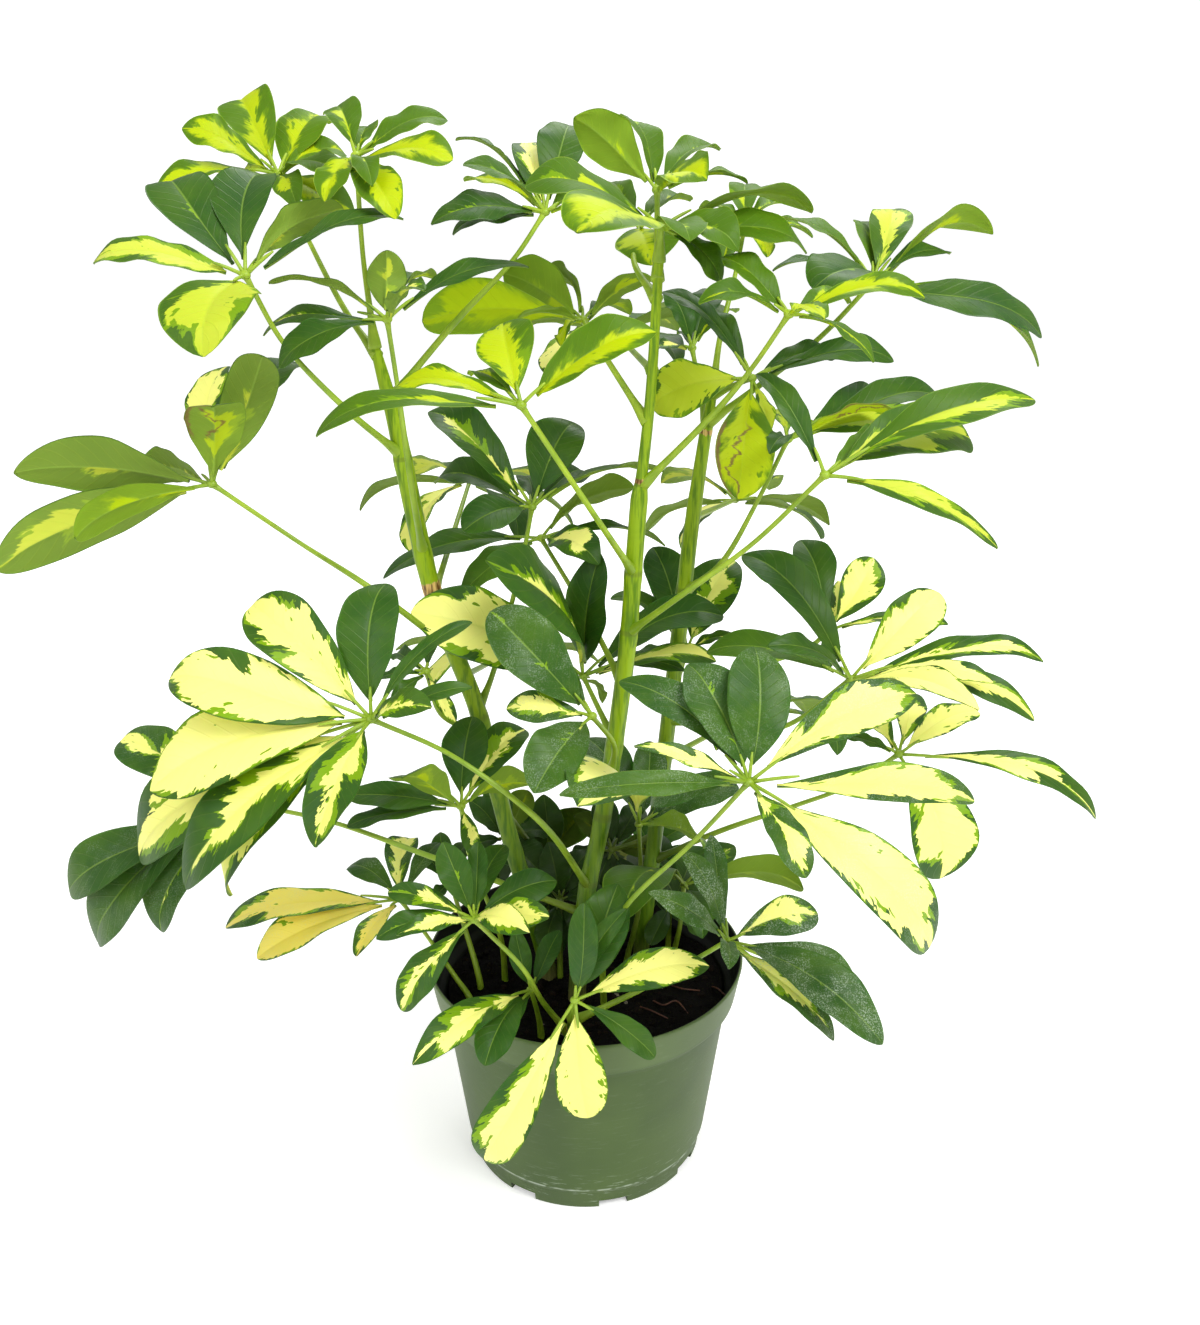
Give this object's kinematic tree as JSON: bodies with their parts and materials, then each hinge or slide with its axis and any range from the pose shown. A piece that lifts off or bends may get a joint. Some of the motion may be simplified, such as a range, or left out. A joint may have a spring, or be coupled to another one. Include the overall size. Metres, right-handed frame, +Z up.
{
  "type": "potted umbrella plant",
  "caption": "Variegated umbrella plant with fans of oval leaflets on slim green stems, growing in dark soil in a round green nursery pot.",
  "frame": {"origin": "middle of the pot's flat underside, which stands on the floor", "axes": "+Z up; -Y towards the viewer of the picture; +X to the viewer's right"},
  "size_m": [0.4937, 0.329, 0.5328],
  "materials": {
    "pot": "matt green moulded plastic, scuffed near the foot",
    "soil": "damp dark potting soil with bark and fine roots",
    "stem": "smooth ridged green stem with brown leaf scars",
    "leaf": "glossy dark green with cream-yellow variegation",
    "leaf_young": "fresh yellow-green with darker edges"
  },
  "bodies": {
    "root": {"pot": "pot", "soil": "soil", "stem_left": "stem", "stem_centre": "stem", "stem_right": "stem", "stem_shoot": "stem", "leaf_left_top": "leaf_young", "leaf_left_crown": "leaf_young", "leaf_left_wide": "leaf", "leaf_left_middle": "leaf", "leaf_left_low": "leaf", "leaf_front_left": "leaf", "leaf_low_left": "leaf", "leaf_low_left_back": "leaf", "leaf_front_round": "leaf", "leaf_front_low": "leaf", "leaf_front_hanging": "leaf", "leaf_front_right": "leaf", "leaf_front_big_right": "leaf", "leaf_right_high": "leaf", "leaf_right_low": "leaf", "leaf_right_top": "leaf", "leaf_right_bright": "leaf_young", "leaf_crown": "leaf_young", "leaf_crown_upper": "leaf_young", "leaf_crown_behind": "leaf_young", "leaf_top_middle": "leaf", "leaf_back_top": "leaf_young", "leaf_middle_bright": "leaf_young", "leaf_middle_back": "leaf_young", "leaf_centre_dark": "leaf", "leaf_centre_low": "leaf", "leaf_centre_broad": "leaf", "leaf_centre_front": "leaf", "leaf_inner_left": "leaf", "leaf_inner_right": "leaf", "leaf_inner_far_left": "leaf", "leaf_right_inner": "leaf", "leaf_behind_stem": "leaf", "leaf_right_middle": "leaf", "leaf_right_long": "leaf", "leaf_right_shoulder": "leaf", "leaf_right_back": "leaf", "leaf_low_right_back": "leaf", "leaf_rear_high_left": "leaf", "leaf_rear_high_right": "leaf", "leaf_rear_crown": "leaf", "leaf_rear_middle_left": "leaf", "leaf_rear_middle_right": "leaf", "leaf_rear_low_left": "leaf", "leaf_rear_low_right": "leaf"}
  },
  "joints": []
}
